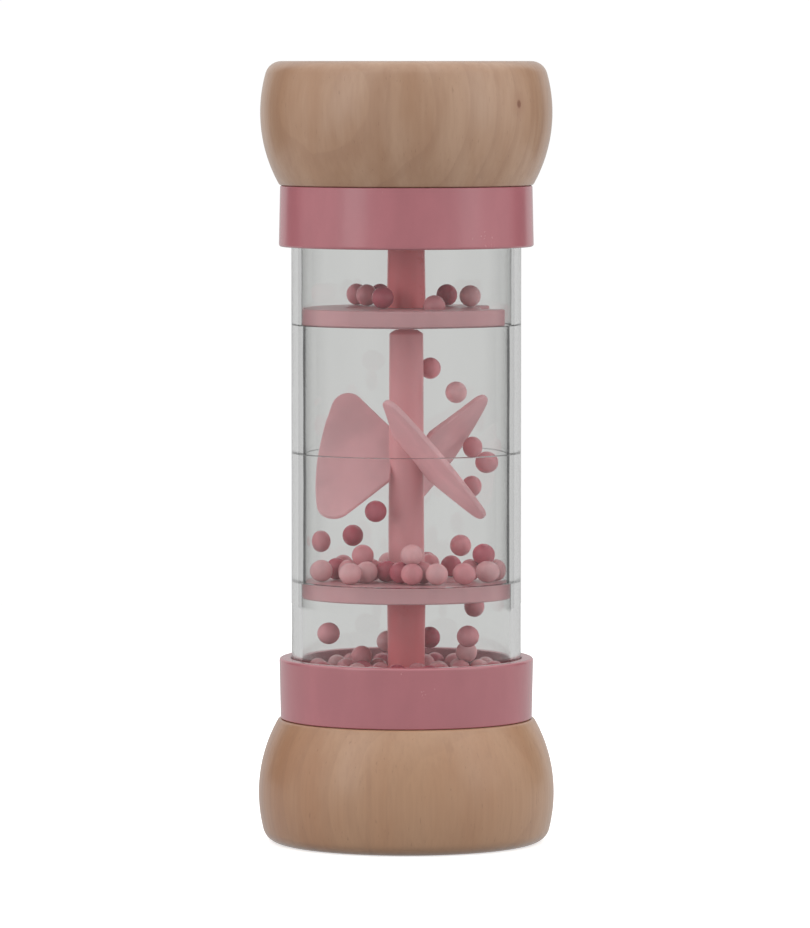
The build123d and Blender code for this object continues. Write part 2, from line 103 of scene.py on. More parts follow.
def rounded(points, n=6):
    """Closed polygon [(r, z, fillet)] with its corners rounded."""
    out = []
    m = len(points)
    for i in range(m):
        p = Vector(points[i][:2])
        f = points[i][2] if len(points[i]) > 2 else 0.0
        if f <= 0:
            out.append(tuple(p))
            continue
        a = (Vector(points[i - 1][:2]) - p).normalized()
        b = (Vector(points[(i + 1) % m][:2]) - p).normalized()
        half = math.acos(max(-1, min(1, a.dot(b)))) / 2
        d = f / math.tan(half)
        c = p + (a + b).normalized() * (f / math.sin(half))
        s, e = p + a * d - c, p + b * d - c
        a0 = math.atan2(s.y, s.x)
        turn = math.atan2(s.x * e.y - s.y * e.x, s.dot(e))
        out += [(c.x + f * math.cos(a0 + turn * k / n), c.y + f * math.sin(a0 + turn * k / n)) for k in range(n + 1)]
    return out


def new_piece(name, bm, sharp=35.0, weighted=False):
    me = bpy.data.meshes.new(name)
    bmesh.ops.recalc_face_normals(bm, faces=bm.faces)
    bm.to_mesh(me)
    bm.free()
    me.shade_smooth()
    me.set_sharp_from_angle(angle=math.radians(sharp))
    ob = bpy.data.objects.new(name, me)
    scene.collection.objects.link(ob)
    if weighted:
        mod = ob.modifiers.new("flat_faces", "WEIGHTED_NORMAL")
        mod.keep_sharp = True
        mod.weight = 100
    return ob


def supported(profile, gap=0.09):
    """Adds a point just inside each end of a long straight run, so that its normals stay true up to the rounding."""
    out, m = [], len(profile)
    for i in range(m):
        a, b = Vector(profile[i]), Vector(profile[(i + 1) % m])
        out.append(tuple(a))
        d = (b - a).length
        if d > 0.8:
            for t in (gap / d, 1 - gap / d):
                p = a.lerp(b, t)
                if p.x > 0.2:
                    out.append(tuple(p))
    return out


def lathe_into(bm, profile, seg=160):
    """Turns a closed (r, z) profile in mm about the Z axis."""
    profile = supported(profile)
    rings = []
    for r, z in profile:
        if r < 1e-6:
            rings.append([bm.verts.new((0, 0, z * MM))])
        else:
            rings.append(
                [
                    bm.verts.new((r * MM * math.cos(2 * math.pi * k / seg), r * MM * math.sin(2 * math.pi * k / seg), z * MM))
                    for k in range(seg)
                ]
            )
    m = len(rings)
    for i in range(m):
        a, b = rings[i], rings[(i + 1) % m]
        if len(a) == 1 and len(b) == 1:
            continue
        for k in range(seg):
            k2 = (k + 1) % seg
            if len(a) == 1:
                bm.faces.new((a[0], b[k], b[k2]))
            elif len(b) == 1:
                bm.faces.new((a[k], b[0], a[k2]))
            else:
                bm.faces.new((a[k], b[k], b[k2], a[k2]))


def lathe(name, profile, seg=160, sharp=35.0):
    bm = bmesh.new()
    lathe_into(bm, profile, seg)
    return new_piece(name, bm, sharp)


def plate(name, loops, thickness, edge, matrix, resolution=3):
    """A flat plate from closed outlines in mm (the first is the outside), with rounded edges."""
    cu = bpy.data.curves.new(name + "_outline", "CURVE")
    cu.dimensions = "2D"
    cu.fill_mode = "BOTH"
    cu.extrude = (thickness / 2 - edge) * MM
    cu.bevel_depth = edge * MM
    cu.bevel_resolution = resolution
    cu.offset = -edge * MM
    for loop in loops:
        sp = cu.splines.new("POLY")
        sp.points.add(len(loop) - 1)
        for p, (x, y) in zip(sp.points, loop):
            p.co = (x * MM, y * MM, 0, 1)
        sp.use_cyclic_u = True
    tmp = bpy.data.objects.new(name + "_tmp", cu)
    scene.collection.objects.link(tmp)
    bpy.context.view_layer.update()
    me = bpy.data.meshes.new_from_object(tmp.evaluated_get(bpy.context.evaluated_depsgraph_get()))
    bpy.data.objects.remove(tmp)
    bpy.data.curves.remove(cu)
    bm = bmesh.new()
    bm.from_mesh(me)
    bpy.data.meshes.remove(me)
    bmesh.ops.remove_doubles(bm, verts=bm.verts, dist=2e-6)
    bm.transform(matrix)
    return bm


def islands(node):
    """Centres of the separate balls in a bead node."""
    bm = bmesh.new()
    bm.from_mesh(NODES[node].data)
    bmesh.ops.remove_doubles(bm, verts=bm.verts, dist=1e-6)
    seen, centres = set(), []
    bm.verts.ensure_lookup_table()
    for v in bm.verts:
        if v.index in seen:
            continue
        stack, group = [v], []
        seen.add(v.index)
        while stack:
            w = stack.pop()
            group.append(w.co)
            for e in w.link_edges:
                o = e.other_vert(w)
                if o.index not in seen:
                    seen.add(o.index)
                    stack.append(o)
        lo = Vector((min(c.x for c in group), min(c.y for c in group), min(c.z for c in group)))
        hi = Vector((max(c.x for c in group), max(c.y for c in group), max(c.z for c in group)))
        centres.append((lo + hi) / 2)
    bm.free()
    return centres


# ------------------------------------------------------------------ material helpers
def lin(r, g, b):
    f = lambda c: c / 12.92 if c <= 0.04045 else ((c + 0.055) / 1.055) ** 2.4
    return (f(r / 255), f(g / 255), f(b / 255), 1.0)


class Mat:
    def __init__(self, name):
        self.m = bpy.data.materials.new(name)
        self.m.use_nodes = True
        self.nt = self.m.node_tree
        self.nt.nodes.clear()
        self.out = self.nt.nodes.new("ShaderNodeOutputMaterial")
        self.coords = self.nt.nodes.new("ShaderNodeTexCoord")

    def node(self, kind, **values):
        n = self.nt.nodes.new(kind)
        for k, v in values.items():
            setattr(n, k, v)
        return n

    def link(self, a, b):
        self.nt.links.new(a, b)

    def scaled(self, scale, offset=(0, 0, 0)):
        n = self.node("ShaderNodeMapping")
        n.inputs["Scale"].default_value = scale
        n.inputs["Location"].default_value = offset
        self.link(self.coords.outputs["Object"], n.inputs["Vector"])
        return n.outputs[0]

    def noise(self, vector, scale=1.0, detail=3.0, rough=0.5, distortion=0.0):
        n = self.node("ShaderNodeTexNoise")
        n.inputs["Scale"].default_value = scale
        n.inputs["Detail"].default_value = detail
        n.inputs["Roughness"].default_value = rough
        n.inputs["Distortion"].default_value = distortion
        self.link(vector, n.inputs["Vector"])
        return n.outputs["Fac"]

    def remap(self, value, a0, a1, b0, b1, smooth=False):
        n = self.node("ShaderNodeMapRange")
        if smooth:
            n.interpolation_type = "SMOOTHSTEP"
        n.inputs["From Min"].default_value = a0
        n.inputs["From Max"].default_value = a1
        n.inputs["To Min"].default_value = b0
        n.inputs["To Max"].default_value = b1
        self.link(value, n.inputs["Value"])
        return n.outputs[0]

    def math(self, op, a, b=None, clamp=False):
        n = self.node("ShaderNodeMath", operation=op, use_clamp=clamp)
        for i, v in enumerate((a, b)):
            if v is None:
                continue
            if isinstance(v, (int, float)):
                n.inputs[i].default_value = v
            else:
                self.link(v, n.inputs[i])
        return n.outputs[0]

    def mix(self, fac, a, b, mode="MIX"):
        n = self.node("ShaderNodeMix", data_type="RGBA", blend_type=mode)
        n.clamp_factor = True
        for i, v in ((0, fac), (6, a), (7, b)):
            if isinstance(v, (int, float, tuple)):
                n.inputs[i].default_value = v
            else:
                self.link(v, n.inputs[i])
        return n.outputs[2]

    def bump(self, height, strength, distance):
        n = self.node("ShaderNodeBump")
        n.inputs["Strength"].default_value = strength
        n.inputs["Distance"].default_value = distance
        self.link(height, n.inputs["Height"])
        return n.outputs[0]

    def principled(self, **values):
        n = self.node("ShaderNodeBsdfPrincipled")
        for k, v in values.items():
            n.inputs[k.replace("_", " ")].default_value = v
        return n


def wood(name, seed, pith, pale, tan, cream, knot=None):
    """Turned beech under satin lacquer: growth rings about a pith beside the blank, fibres along Z, short rays."""
    w = Mat(name)
    o = (seed * 0.37, seed * 0.21, seed * 0.11)
    warp = w.noise(w.scaled((38, 38, 9), o), 1.0, 2.0, 0.5)
    warp2 = w.noise(w.scaled((120, 120, 16), o), 1.0, 2.0, 0.5)
    sep = w.node("ShaderNodeSeparateXYZ")
    w.link(w.coords.outputs["Object"], sep.inputs[0])
    dx = w.math("SUBTRACT", sep.outputs[0], pith[0])
    dy = w.math("SUBTRACT", sep.outputs[1], pith[1])
    dist = w.math("SQRT", w.math("ADD", w.math("MULTIPLY", dx, dx), w.math("MULTIPLY", dy, dy)))
    dist = w.math("ADD", dist, w.math("MULTIPLY", w.math("SUBTRACT", warp, 0.5), 0.008))
    dist = w.math("ADD", dist, w.math("MULTIPLY", w.math("SUBTRACT", warp2, 0.5), 0.0026))
    dist = w.math("ADD", dist, w.math("MULTIPLY", sep.outputs[2], 0.045))
    phase = w.math("FRACT", w.math("DIVIDE", dist, 0.0046))
    late = w.remap(phase, 0.55, 0.97, 0.0, 1.0, True)
    drop = w.remap(phase, 0.97, 1.0, 1.0, 0.0)
    ring = w.math("MULTIPLY", late, drop)
    patch = w.noise(w.scaled((30, 30, 14), (o[1], o[0], o[2])), 1.0, 3.0, 0.55)
    tone = w.noise(w.scaled((75, 75, 20), o), 1.0, 4.0, 0.6)
    fibre = w.noise(w.scaled((1500, 1500, 42), o), 1.0, 3.0, 0.6)
    streak = w.noise(w.scaled((420, 420, 14), (o[2], o[1], o[0])), 1.0, 3.0, 0.6)
    base = w.mix(w.remap(patch, 0.36, 0.64, 0, 1, True), lin(*pale), lin(*tan))
    base = w.mix(w.remap(tone, 0.38, 0.66, 0.0, 0.65, True), base, lin(*cream))
    base = w.mix(w.math("MULTIPLY", ring, w.remap(patch, 0.35, 0.6, 0.05, 0.20)), base, lin(142, 103, 80))
    base = w.mix(w.remap(streak, 0.54, 0.78, 0.0, 0.30, True), base, lin(146, 107, 84))
    base = w.mix(w.remap(fibre, 0.40, 0.72, 0.0, 0.12), base, lin(136, 100, 78))
    rays = w.noise(w.scaled((2600, 2600, 420), o), 1.0, 1.0, 0.5)
    base = w.mix(w.remap(rays, 0.70, 0.78, 0.0, 0.30), base, lin(120, 82, 62))
    if knot:
        off = w.node("ShaderNodeVectorMath", operation="SUBTRACT")
        w.link(w.coords.outputs["Object"], off.inputs[0])
        off.inputs[1].default_value = knot
        squeeze = w.node("ShaderNodeVectorMath", operation="MULTIPLY")
        w.link(off.outputs[0], squeeze.inputs[0])
        squeeze.inputs[1].default_value = (1.0, 1.0, 0.75)
        length = w.node("ShaderNodeVectorMath", operation="LENGTH")
        w.link(squeeze.outputs[0], length.inputs[0])
        wob = w.math("ADD", length.outputs["Value"], w.math("MULTIPLY", w.math("SUBTRACT", streak, 0.5), 0.0004))
        base = w.mix(w.remap(wob, 0.0004, 0.0030, 0.34, 0.0, True), base, lin(148, 104, 78))
        base = w.mix(w.remap(wob, 0.0003, 0.0008, 0.85, 0.0, True), base, lin(118, 70, 48))
    rough = w.math("ADD", w.remap(fibre, 0.3, 0.7, 0.36, 0.46), w.math("MULTIPLY", w.math("SUBTRACT", tone, 0.5), 0.08))
    height = w.math("ADD", w.math("MULTIPLY", fibre, 0.7), w.math("MULTIPLY", rays, 0.3))
    p = w.principled(Specular_IOR_Level=0.5, Coat_Weight=0.6, Coat_Roughness=0.20, Coat_IOR=1.5)
    w.link(base, p.inputs["Base Color"])
    w.link(rough, p.inputs["Roughness"])
    w.link(w.bump(height, 0.18, 0.00006), p.inputs["Normal"])
    w.link(p.outputs[0], w.out.inputs["Surface"])
    return w.m


def plastic(name, colour, rough=0.26, spread=0.035, coat=0.0, subsurface=0.0, peel=0.10, cell=130.0, transmission=0.0, translucent=0.0, spec=0.5):
    """Moulded plastic: faint flow marks in colour and gloss, and a slight orange peel."""
    w = Mat(name)
    flow = w.noise(w.scaled((cell, cell, cell * 0.45)), 1.0, 3.0, 0.55)
    fine = w.noise(w.scaled((1500, 1500, 1500)), 1.0, 2.0, 0.5)
    c = lin(*colour)
    dark = tuple(v * (1 - spread * 1.6) for v in c[:3]) + (1.0,)
    light = tuple(min(1, v * (1 + spread * 1.6)) for v in c[:3]) + (1.0,)
    col = w.mix(w.remap(flow, 0.3, 0.7, 0, 1, True), dark, light)
    col = w.mix(w.remap(fine, 0.35, 0.65, 0.0, 0.10), col, tuple(v * 0.88 for v in c[:3]) + (1.0,))
    r = w.math("ADD", w.remap(flow, 0.3, 0.7, rough * 0.88, rough * 1.12), w.remap(fine, 0.3, 0.7, -0.015, 0.015))
    p = w.principled(
        Coat_Weight=coat,
        Coat_Roughness=0.16,
        Subsurface_Weight=subsurface,
        Subsurface_Scale=0.0012,
        Transmission_Weight=transmission,
        IOR=1.47,
        Specular_IOR_Level=spec,
    )
    p.inputs["Subsurface Radius"].default_value = (1.0, 0.45, 0.4)
    w.link(col, p.inputs["Base Color"])
    w.link(r, p.inputs["Roughness"])
    h = w.math("ADD", w.math("MULTIPLY", flow, 0.6), w.math("MULTIPLY", fine, 0.08))
    w.link(w.bump(h, peel, 0.0004), p.inputs["Normal"])
    if translucent > 0:
        t = w.node("ShaderNodeBsdfTranslucent")
        w.link(col, t.inputs["Color"])
        mixer = w.node("ShaderNodeMixShader")
        mixer.inputs[0].default_value = translucent
        w.link(p.outputs[0], mixer.inputs[1])
        w.link(t.outputs[0], mixer.inputs[2])
        w.link(mixer.outputs[0], w.out.inputs["Surface"])
    else:
        w.link(p.outputs[0], w.out.inputs["Surface"])
    return w.m


def clear(name, colour):
    """Clear moulded polystyrene. Lamps reach what is inside it."""
    w = Mat(name)
    flow = w.noise(w.scaled((160, 160, 60)), 1.0, 2.0, 0.5)
    p = w.principled(Transmission_Weight=1.0, IOR=1.49, Specular_IOR_Level=0.25)
    tint = w.mix(w.remap(flow, 0.3, 0.7, 0, 1), colour, tuple(v * 0.985 for v in colour[:3]) + (1.0,))
    w.link(tint, p.inputs["Base Color"])
    w.link(w.remap(flow, 0.3, 0.7, 0.0, 0.012), p.inputs["Roughness"])
    w.link(w.bump(flow, 0.05, 0.0003), p.inputs["Normal"])
    t = w.node("ShaderNodeBsdfTransparent")
    t.inputs["Color"].default_value = (0.95, 0.95, 0.945, 1)
    lp = w.node("ShaderNodeLightPath")
    mixer = w.node("ShaderNodeMixShader")
    w.link(lp.outputs["Is Shadow Ray"], mixer.inputs[0])
    w.link(p.outputs[0], mixer.inputs[1])
    w.link(t.outputs[0], mixer.inputs[2])
    w.link(mixer.outputs[0], w.out.inputs["Surface"])
    return w.m


def steel(name):
    w = Mat(name)
    fine = w.noise(w.scaled((900, 900, 900)), 1.0, 3.0, 0.5)
    p = w.principled(Metallic=1.0)
    w.link(w.mix(fine, (0.50, 0.50, 0.50, 1), (0.62, 0.62, 0.61, 1)), p.inputs["Base Color"])
    w.link(w.remap(fine, 0.3, 0.7, 0.28, 0.42), p.inputs["Roughness"])
    w.link(p.outputs[0], w.out.inputs["Surface"])
    return w.m


M_WOOD_BASE = wood("beech_base", 3.0, (-0.030, 0.052), (177, 135, 103), (164, 120, 89), (182, 145, 115))
M_WOOD_TOP = wood("beech_top", 8.0, (0.036, 0.047), (180, 143, 115), (165, 127, 99), (186, 154, 129), knot=(0.0213, -0.0181, 0.1419))
M_PINK = plastic("collar_pink", (175, 105, 113), rough=0.24, spread=0.03, coat=0.25, spec=1.0)
M_PLATE = plastic("plate_pink", (170, 104, 110), rough=0.34, spread=0.03)
M_DISC = plastic("disc_pink_moulded", (207, 157, 162), rough=0.32, spread=0.03, subsurface=0.2)
M_POST = plastic("post_rose_moulded", (234, 126, 132), rough=0.30, spread=0.03, subsurface=0.1)
M_SHAFT = plastic("shaft_pink_moulded", (219, 153, 158), rough=0.30, spread=0.03, subsurface=0.1)
M_PADDLE = plastic("paddle_pink_moulded", (246, 209, 213), rough=0.32, spread=0.04, subsurface=0.0, translucent=0.48)
M_BEAD_DARK = plastic("bead_dark_moulded", (184, 92, 106), rough=0.20, spread=0.05, cell=420, peel=0.06, subsurface=0.15)
M_BEAD_ROSE = plastic("bead_rose_moulded", (212, 142, 149), rough=0.22, spread=0.05, cell=420, peel=0.06, subsurface=0.15)
M_BEAD_LIGHT = plastic("bead_light_moulded", (219, 168, 172), rough=0.22, spread=0.05, cell=420, peel=0.06, subsurface=0.2)
M_CLEAR = clear("clear_moulded", (0.97, 0.975, 0.966, 1.0))
M_STEEL = steel("screw_zinc")


def finish_piece(ob, material, body, slot, *nodes):
    ob.data.materials.clear()
    ob.data.materials.append(material)
    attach(ob, body)
    if nodes:
        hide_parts(*nodes)


# ------------------------------------------------------------------ wooden caps
def cap_profile(r, equator, face_z, lip_z, inner_z, up):
    """A ball turned to radius r about (0, equator), cut flat at face_z with a rounded edge; the spigot ends at inner_z."""
    s = 1 if up else -1  # outward direction of the flat face
    edge = 3.2
    cz = face_z - s * edge
    cx = math.sqrt((r - edge) ** 2 - (cz - equator) ** 2)
    ang = math.degrees(math.atan2(cz - equator, cx))
    pts = [(0, face_z), (cx * 0.5, face_z)]
    pts += arc(cx, cz, edge, 90 * s, ang, 14)
    lip_r = math.sqrt(r * r - (lip_z - equator) ** 2)
    lip_ang = math.degrees(math.atan2(lip_z - equator, lip_r))
    lip = 0.45
    # the ball down to just before the lip
    stop = lip_ang + s * math.degrees(lip * 0.9 / r)
    pts += arc(0, equator, r, ang, stop, 60)[1:]
    p = pts[-1]
    end = (lip_r - lip * 1.0, lip_z)
    mid = (lip_r + (0.0), lip_z)
    for t in (0.2, 0.4, 0.6, 0.8, 1.0):
        pts.append(
            (
                (1 - t) ** 2 * p[0] + 2 * t * (1 - t) * mid[0] + t * t * end[0],
                (1 - t) ** 2 * p[1] + 2 * t * (1 - t) * mid[1] + t * t * end[1],
            )
        )
    pts += [(21.15, lip_z), (21.15, inner_z + s * 0.4), (20.75, inner_z), (1.75, inner_z), (0, inner_z)]
    return pts


base_cap = lathe("turned_base_cap", cap_profile(BASE_R - 0.01, 9.46, BASE_Z0, COL_B0, BASE_Z1, False), 256)
finish_piece(base_cap, M_WOOD_BASE, "case", "beech_wood", "base_cap")
top_cap = lathe("turned_top_cap", cap_profile(TOP_R - 0.01, 140.16, TOP_Z1, COL_T1, TOP_Z0, True), 256)
finish_piece(top_cap, M_WOOD_TOP, "case", "beech_wood", "top_cap")


# ------------------------------------------------------------------ collars
def collar(name, node, wood_z, rim_z, ledge_z):
    s = 1 if rim_z > wood_z else -1
    wz = wood_z + s * 0.06  # a hair's gap to the wood shows as the dark joint line
    pts = rounded(
        [
            (21.3, wz, 0.1),
            (24.18, wz, 0.28),
            (24.44, rim_z, 0.5),
            (22.17, rim_z, 0.32),
            (22.17, ledge_z, 0.0),
            (21.3, ledge_z, 0.0),
        ],
        7,
    )
    ob = lathe(name, pts, 224)
    finish_piece(ob, M_PINK, "case", "pink_plastic", node)
    return ob


collar("moulded_base_collar", "base_collar", COL_B0, COL_B1, 27.4)
collar("moulded_top_collar", "top_collar", COL_T1, COL_T0, 122.6)


# ------------------------------------------------------------------ clear rings
def ring(name, node, z0, z1, bore, low_edge, high_edge):
    pts = rounded(
        [
            (bore, z0, 0.06),
            (TUBE_R, z0, low_edge),
            (TUBE_R, z1, high_edge),
            (bore, z1, 0.06),
        ],
        5,
    )
    ob = lathe(name, pts, 288, 8.0)
    finish_piece(ob, M_CLEAR, "case", "clear_plastic", node)
    return ob


G = 0.008
CLEAR_RINGS = [
    ring("clear_ring_top", "tube_ring_top", RT0 + G, RT1 - G, 20.1, 0.05, 0.1),
    ring("clear_ring_upper", "tube_ring_upper", RU0 + G, RU1 - G, 19.4, 0.05, 0.05),
    ring("clear_ring_lower", "tube_ring_lower", RL0 + G, RL1 - G, 19.4, 0.05, 0.05),
    ring("clear_ring_base", "tube_ring_base", RB0 + G, RB1 - G, 20.1, 0.1, 0.05),
]


# ------------------------------------------------------------------ sieve discs
def disc_loops(notch_az, first_hole_az, r=20.0, inner=14.4, half=28.5, corner=0.9):
    """Outline with one notch whose corners are eased, and three drop holes."""
    a0, a1 = notch_az + half, notch_az + 360 - half
    out = []
    ease = math.degrees(corner / r)
    n = 200
    for i in range(n + 1):
        a = math.radians(a0 + ease + (a1 - a0 - 2 * ease) * i / n)
        out.append((r * math.cos(a), r * math.sin(a)))

    def pol(rad, az):
        return Vector((rad * math.cos(math.radians(az)), rad * math.sin(math.radians(az))))

    def corner_pts(p, c, q, k=5):
        return [tuple((1 - t) ** 2 * p + 2 * t * (1 - t) * c + t * t * q) for t in [j / k for j in range(k + 1)]]

    e2 = math.degrees(corner / inner)
    out += corner_pts(pol(r, a1 - ease), pol(r, a1), pol(r - corner, a1))[1:]
    out += corner_pts(pol(inner + corner, a1), pol(inner, a1), pol(inner, a1 + e2))
    m = 36
    for i in range(1, m):
        out.append(tuple(pol(inner, a1 + e2 + (2 * half - 2 * e2) * i / m)))
    out += corner_pts(pol(inner, notch_az + half - e2 + 360), pol(inner, a0 + 360), pol(inner + corner, a0 + 360))
    out += corner_pts(pol(r - corner, a0 + 360), pol(r, a0 + 360), pol(r, a0 + ease + 360))[:-1]
    loops = [out]
    for k in range(3):
        c = pol(9.254, first_hole_az + 120 * k)
        loops.append([(c.x + 2.5 * math.cos(2 * math.pi * j / 40), c.y + 2.5 * math.sin(2 * math.pi * j / 40)) for j in range(40)])
    return loops


def sieve(name, node, z0, z1, notch_az, hole_az, spigot_up):
    t = z1 - z0
    bm = plate(name, disc_loops(notch_az, hole_az), t, 0.35, Matrix.Translation((0, 0, (z0 + z1) / 2 * MM)))
    lo, hi = zspan(node)
    if spigot_up:
        prof = [(0, z1 - 0.3), (1.95, z1 - 0.3), (1.95, hi - 0.2), (1.75, hi), (0, hi)]
    else:
        prof = [(0, z0 + 0.3), (0, lo), (1.75, lo), (1.95, lo + 0.2), (1.95, z0 + 0.3)]
    lathe_into(bm, prof, 48)
    ob = new_piece(name, bm, 40.0, True)
    finish_piece(ob, M_DISC, "case", "disc_pink", node)
    return ob


U0, L1 = zspan("upper_sieve_disc")[0], zspan("lower_sieve_disc")[1]
sieve("moulded_upper_disc", "upper_sieve_disc", U0 + 0.02, U0 + 3.2, 3.5, 3.5 - 58.7, True)
sieve("moulded_lower_disc", "lower_sieve_disc", L1 - 3.2, L1 - 0.02, 30.0, 30.0 + 58.7, False)


# ------------------------------------------------------------------ posts
def post(name, node, foot_z, head_z):
    """Hollow post with a small fillet where it stands on the plate and where it meets the disc."""
    s = 1 if head_z > foot_z else -1
    seat = foot_z + s * 1.2
    pts = [(2.0, foot_z), (3.5, foot_z), (3.5, seat)]
    pts += [(3.5 + 0.013, seat + s * 0.02), (3.52, seat + s * 1.0)]
    pts += [(3.69, head_z - s * 0.5), (3.7, head_z - s * 0.06), (3.62, head_z), (2.0, head_z)]
    ob = lathe(name, pts, 96)
    finish_piece(ob, M_POST, "case", "post_rose", node)
    return ob


lp0, lp1 = zspan("lower_post")
post("moulded_lower_post", "lower_post", lp0, lp1 - 0.02)
up0, up1 = zspan("upper_post")
post("moulded_upper_post", "upper_post", up1, up0 + 0.02)


# ------------------------------------------------------------------ spinner
sh0, sh1 = zspan("spinner_shaft")
FOOT, HEAD = 50.5, 98.55
shaft_profile = [
    (0, sh0),
    (1.2, sh0),
    (1.5, sh0 + 0.3),
    (1.5, FOOT),
    (3.15, FOOT),
    (3.40, FOOT + 0.09),
    (3.47, FOOT + 0.32),
    (3.36, 74.3),
    (3.25, HEAD - 1.05),
    (3.22, HEAD - 0.82),
    (3.10, HEAD - 0.62),
    (2.32, HEAD - 0.12),
    (2.10, HEAD),
    (1.5, HEAD),
    (1.5, sh1 - 0.3),
    (1.2, sh1),
    (0, sh1),
]
PITCH, PADDLE_Z = math.radians(-49.5), 74.3
T = 1.0


def paddle_matrix(az):
    a = math.radians(az)
    out = Vector((math.cos(a), math.sin(a), 0))
    slope = Vector((-math.sin(a) * math.cos(PITCH), math.cos(a) * math.cos(PITCH), math.sin(PITCH)))
    n = out.cross(slope)
    m = Matrix((out, slope, n)).transposed().to_4x4()
    m.translation = (0, 0, PADDLE_Z * MM)
    return m


def paddle_outline():
    tip, sx, sh, rx, rh, cr = 17.3, 14.0, 17.9, 2.75, 5.9, 3.2
    rad = (sh * sh + (tip - sx) ** 2) / (2 * (tip - sx))
    cx = tip - rad
    # the corner's circle touches the bowed tip from inside and the flank
    k = Vector((sx - rx, sh - rh)).normalized()
    nrm = Vector((k.y, -k.x))  # towards the paddle's middle
    q = Vector((rx, rh)) + nrm * cr
    # point q + t k at distance rad - cr from (cx, 0)
    d = q - Vector((cx, 0))
    b = d.dot(k)
    t = -b + math.sqrt(b * b - (d.dot(d) - (rad - cr) ** 2))
    c = q + k * t
    on_flank = c - nrm * cr
    to_tip = (c - Vector((cx, 0))).normalized()
    on_tip = c + to_tip * cr
    a0 = math.atan2(on_flank.y - c.y, on_flank.x - c.x)
    a1 = math.atan2(on_tip.y - c.y, on_tip.x - c.x)
    top = [(rx, rh)]
    top += [tuple(Vector((rx, rh)).lerp(on_flank, u)) for u in (0.25, 0.5, 0.75)]
    top += [(c.x + cr * math.cos(a0 + (a1 - a0) * i / 14), c.y + cr * math.sin(a0 + (a1 - a0) * i / 14)) for i in range(15)]
    e = math.atan2(on_tip.y, on_tip.x - cx)
    side = [(cx + rad * math.cos(e * (1 - i / 20)), rad * math.sin(e * (1 - i / 20))) for i in range(1, 21)]
    upper = top + side
    lower = [(x, -y) for x, y in reversed(upper[:-1])]
    return upper + lower


bm_p = bmesh.new()
for az in (174.0, 294.0, 54.0):
    one = plate("paddle", [paddle_outline()], T, 0.28, paddle_matrix(az), 3)
    tmp = bpy.data.meshes.new("paddle_tmp")
    one.to_mesh(tmp)
    one.free()
    bm_p.from_mesh(tmp)
    bpy.data.meshes.remove(tmp)
paddles = new_piece("moulded_paddles", bm_p, 40.0, True)
finish_piece(paddles, M_PADDLE, "spinner", "paddle_pink", "spinner_paddles")
shaft = lathe("moulded_shaft", shaft_profile, 96)
finish_piece(shaft, M_SHAFT, "spinner", "shaft_pink", "spinner_shaft")


# ------------------------------------------------------------------ beads
rng = random.Random(7)


def bead_mesh(centres, level=4):
    """Moulded balls: a faint parting line round the middle and a small gate mark."""
    bm = bmesh.new()
    for c in centres:
        ax = Vector((rng.uniform(-1, 1), rng.uniform(-1, 1), rng.uniform(0.1, 1))).normalized()
        side = ax.orthogonal().normalized()
        made = bmesh.ops.create_icosphere(bm, subdivisions=level, radius=1.0)
        for v in made["verts"]:
            d = v.co.normalized()
            h = d.dot(ax)
            r = 2.085 + 0.012 * math.exp(-((h / 0.03) ** 2))
            g = (d - side).length
            r += 0.055 / (1 + math.exp((g - 0.17) * 60)) - 0.03 * math.exp(-(((g - 0.23) / 0.05) ** 2))
            r = min(r, 2.13)
            v.co = c + d * (r * MM)
    return bm


SHADES = {"dark": M_BEAD_DARK, "rose": M_BEAD_ROSE, "light": M_BEAD_LIGHT}
for chamber in ("top", "middle", "base"):
    for shade, mat in SHADES.items():
        node = f"{chamber}_beads_{shade}"
        ob = new_piece(f"moulded_{node}", bead_mesh(islands(node)), 60.0)
        finish_piece(ob, mat, f"{chamber}_beads", f"bead_{shade}", node)
shade_of = {s["node"]: s["material_slot"] for s in frame["record"]["subparts"]}
for node in sorted(n for n in NODES if n.startswith("falling_bead_")):
    shade = shade_of[node].split("_")[1]
    ob = new_piece(f"moulded_{node}", bead_mesh(islands(node)), 60.0)
    finish_piece(ob, SHADES[shade], node, f"bead_{shade}", node)


# ------------------------------------------------------------------ CAD nodes that stay
for node, mat in (
    ("base_end_plate", M_PLATE),
    ("top_end_plate", M_PLATE),
    ("base_cap_screw", M_STEEL),
    ("top_cap_screw", M_STEEL),
):
    ob = NODES[node]
    if len(ob.material_slots) == 0:
        ob.data.materials.append(mat)
    for s in ob.material_slots:
        s.material = mat


